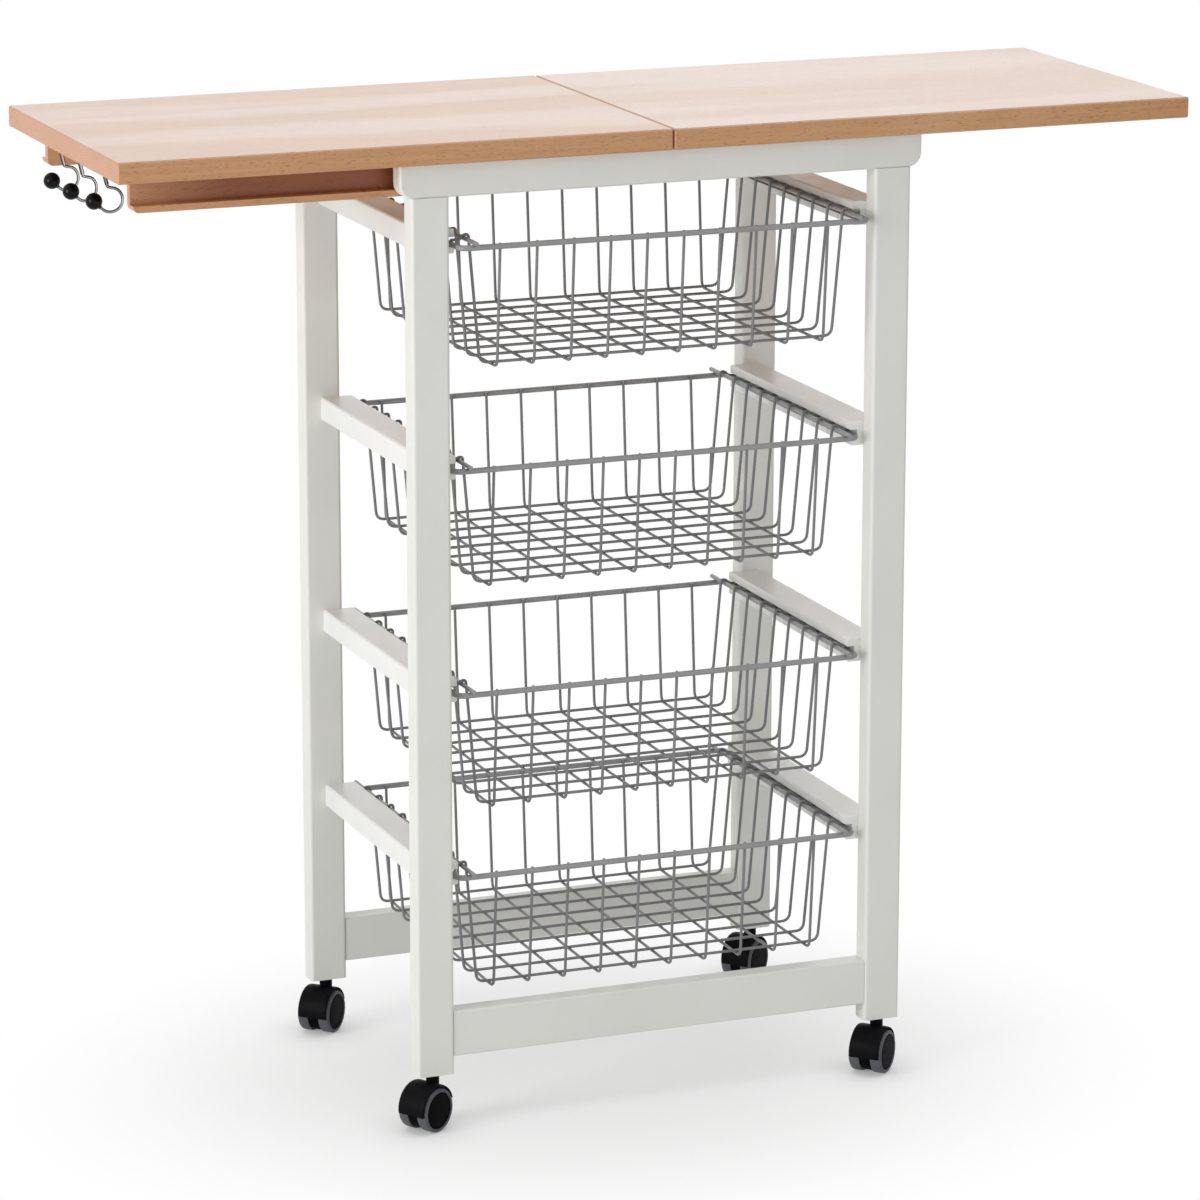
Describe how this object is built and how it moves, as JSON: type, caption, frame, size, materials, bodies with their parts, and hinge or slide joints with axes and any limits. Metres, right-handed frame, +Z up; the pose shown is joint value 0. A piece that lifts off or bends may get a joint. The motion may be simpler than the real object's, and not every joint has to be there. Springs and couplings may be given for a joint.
{
  "type": "kitchen cart",
  "caption": "Tall kitchen cart on castors: white timber frame, pull-out wire baskets, a sliding beech worktop with a fold-out leaf, and utensil hooks.",
  "frame": {"origin": "on the floor, midway between the outer faces of the four legs both ways; within 5 mm of the bounding box's bottom centre", "axes": "+X along the opened worktop, from the hook end to the fold-out leaf; +Y from the front to the back, so the baskets pull out along -Y; +Z up"},
  "size_m": [0.9812, 0.342, 0.8714],
  "materials": {
    "white_lacquer": "white satin lacquer",
    "beech": "oiled beech, satin",
    "plain_wood": "plain, matt",
    "grey_wire": "grey powder coat, satin",
    "chrome": "polished",
    "black_gloss": "gloss",
    "hinge_metal": "plain",
    "zinc_steel": "zinc plated",
    "black_plastic": "black, satin",
    "castor_tread": "dark grey, matt"
  },
  "bodies": {
    "frame": {"leg_front_left": "white_lacquer", "leg_front_right": "white_lacquer", "leg_back_left": "white_lacquer", "leg_back_right": "white_lacquer", "top_rail_front": "white_lacquer", "bottom_rail_front": "white_lacquer", "slide_tongue_front": "white_lacquer", "top_rail_back": "white_lacquer", "bottom_rail_back": "white_lacquer", "slide_tongue_back": "white_lacquer", "runner_left_1": "white_lacquer", "runner_left_2": "white_lacquer", "runner_left_3": "white_lacquer", "runner_left_4": "white_lacquer", "runner_right_1": "white_lacquer", "runner_right_2": "white_lacquer", "runner_right_3": "white_lacquer", "runner_right_4": "white_lacquer", "slide_stop_blocks": "plain_wood", "castor_sockets": "black_plastic"},
    "left_leaf": {"leaf_left": "beech", "slide_channel_front": "beech", "slide_channel_back": "beech", "slide_channel_stops": "plain_wood", "hinge_barrels_left": "hinge_metal", "hook_wires": "chrome", "hook_balls": "black_gloss"},
    "right_leaf": {"leaf_right": "beech", "hinge_barrels_right": "hinge_metal"},
    "basket_1": {"basket_1_rim": "grey_wire", "basket_1_wires": "grey_wire"},
    "basket_2": {"basket_2_rim": "grey_wire", "basket_2_wires": "grey_wire"},
    "basket_3": {"basket_3_rim": "grey_wire", "basket_3_wires": "grey_wire"},
    "basket_4": {"basket_4_rim": "grey_wire", "basket_4_wires": "grey_wire"},
    "castor_front_left": {"castor_front_left_hood": "black_plastic", "castor_front_left_stem": "zinc_steel", "castor_front_left_axle": "zinc_steel"},
    "wheel_front_left_left": {"castor_front_left_wheel_left": "castor_tread"},
    "wheel_front_left_right": {"castor_front_left_wheel_right": "castor_tread"},
    "castor_front_right": {"castor_front_right_hood": "black_plastic", "castor_front_right_stem": "zinc_steel", "castor_front_right_axle": "zinc_steel"},
    "wheel_front_right_left": {"castor_front_right_wheel_left": "castor_tread"},
    "wheel_front_right_right": {"castor_front_right_wheel_right": "castor_tread"},
    "castor_back_left": {"castor_back_left_hood": "black_plastic", "castor_back_left_stem": "zinc_steel", "castor_back_left_axle": "zinc_steel"},
    "wheel_back_left_left": {"castor_back_left_wheel_left": "castor_tread"},
    "wheel_back_left_right": {"castor_back_left_wheel_right": "castor_tread"},
    "castor_back_right": {"castor_back_right_hood": "black_plastic", "castor_back_right_stem": "zinc_steel", "castor_back_right_axle": "zinc_steel"},
    "wheel_back_right_left": {"castor_back_right_wheel_left": "castor_tread"},
    "wheel_back_right_right": {"castor_back_right_wheel_right": "castor_tread"}
  },
  "joints": [
    {"name": "top_slide", "type": "slide", "parent": "frame", "child": "left_leaf", "axis": [1, 0, 0], "range_m": [0, 0.242]},
    {"name": "leaf_fold", "type": "hinge", "parent": "left_leaf", "child": "right_leaf", "pos_m": [0.0032, 0, 0.87155], "axis": [0, -1, 0], "range_deg": [0, 180]},
    {"name": "basket_1_slide", "type": "slide", "parent": "frame", "child": "basket_1", "axis": [0, -1, 0], "range_m": [-0.017, 0.168]},
    {"name": "basket_2_slide", "type": "slide", "parent": "frame", "child": "basket_2", "axis": [0, -1, 0], "range_m": [0, 0.185]},
    {"name": "basket_3_slide", "type": "slide", "parent": "frame", "child": "basket_3", "axis": [0, -1, 0], "range_m": [-0.005, 0.18]},
    {"name": "basket_4_slide", "type": "slide", "parent": "frame", "child": "basket_4", "axis": [0, -1, 0], "range_m": [-0.002, 0.183]},
    {"name": "castor_front_left_swivel", "type": "hinge", "parent": "frame", "child": "castor_front_left", "pos_m": [-0.213, -0.1448, 0.0487], "axis": [0, 0, 1], "continuous": true},
    {"name": "wheel_front_left_left_spin", "type": "hinge", "parent": "castor_front_left", "child": "wheel_front_left_left", "pos_m": [-0.22148, -0.1501, 0.0196], "axis": [-0.5299, 0.848, 0], "continuous": true},
    {"name": "wheel_front_left_right_spin", "type": "hinge", "parent": "castor_front_left", "child": "wheel_front_left_right", "pos_m": [-0.22148, -0.1501, 0.0196], "axis": [-0.5299, 0.848, 0], "continuous": true},
    {"name": "castor_front_right_swivel", "type": "hinge", "parent": "frame", "child": "castor_front_right", "pos_m": [0.213, -0.1448, 0.0487], "axis": [0, 0, 1], "continuous": true},
    {"name": "wheel_front_right_left_spin", "type": "hinge", "parent": "castor_front_right", "child": "wheel_front_right_left", "pos_m": [0.20581, -0.15175, 0.0196], "axis": [-0.6947, 0.7193, 0], "continuous": true},
    {"name": "wheel_front_right_right_spin", "type": "hinge", "parent": "castor_front_right", "child": "wheel_front_right_right", "pos_m": [0.20581, -0.15175, 0.0196], "axis": [-0.6947, 0.7193, 0], "continuous": true},
    {"name": "castor_back_left_swivel", "type": "hinge", "parent": "frame", "child": "castor_back_left", "pos_m": [-0.213, 0.1448, 0.0487], "axis": [0, 0, 1], "continuous": true},
    {"name": "wheel_back_left_left_spin", "type": "hinge", "parent": "castor_back_left", "child": "wheel_back_left_left", "pos_m": [-0.21995, 0.13761, 0.0196], "axis": [-0.7193, 0.6947, 0], "continuous": true},
    {"name": "wheel_back_left_right_spin", "type": "hinge", "parent": "castor_back_left", "child": "wheel_back_left_right", "pos_m": [-0.21995, 0.13761, 0.0196], "axis": [-0.7193, 0.6947, 0], "continuous": true},
    {"name": "castor_back_right_swivel", "type": "hinge", "parent": "frame", "child": "castor_back_right", "pos_m": [0.213, 0.1448, 0.0487], "axis": [0, 0, 1], "continuous": true},
    {"name": "wheel_back_right_left_spin", "type": "hinge", "parent": "castor_back_right", "child": "wheel_back_right_left", "pos_m": [0.20512, 0.13864, 0.0196], "axis": [-0.6157, 0.788, 0], "continuous": true},
    {"name": "wheel_back_right_right_spin", "type": "hinge", "parent": "castor_back_right", "child": "wheel_back_right_right", "pos_m": [0.20512, 0.13864, 0.0196], "axis": [-0.6157, 0.788, 0], "continuous": true}
  ]
}
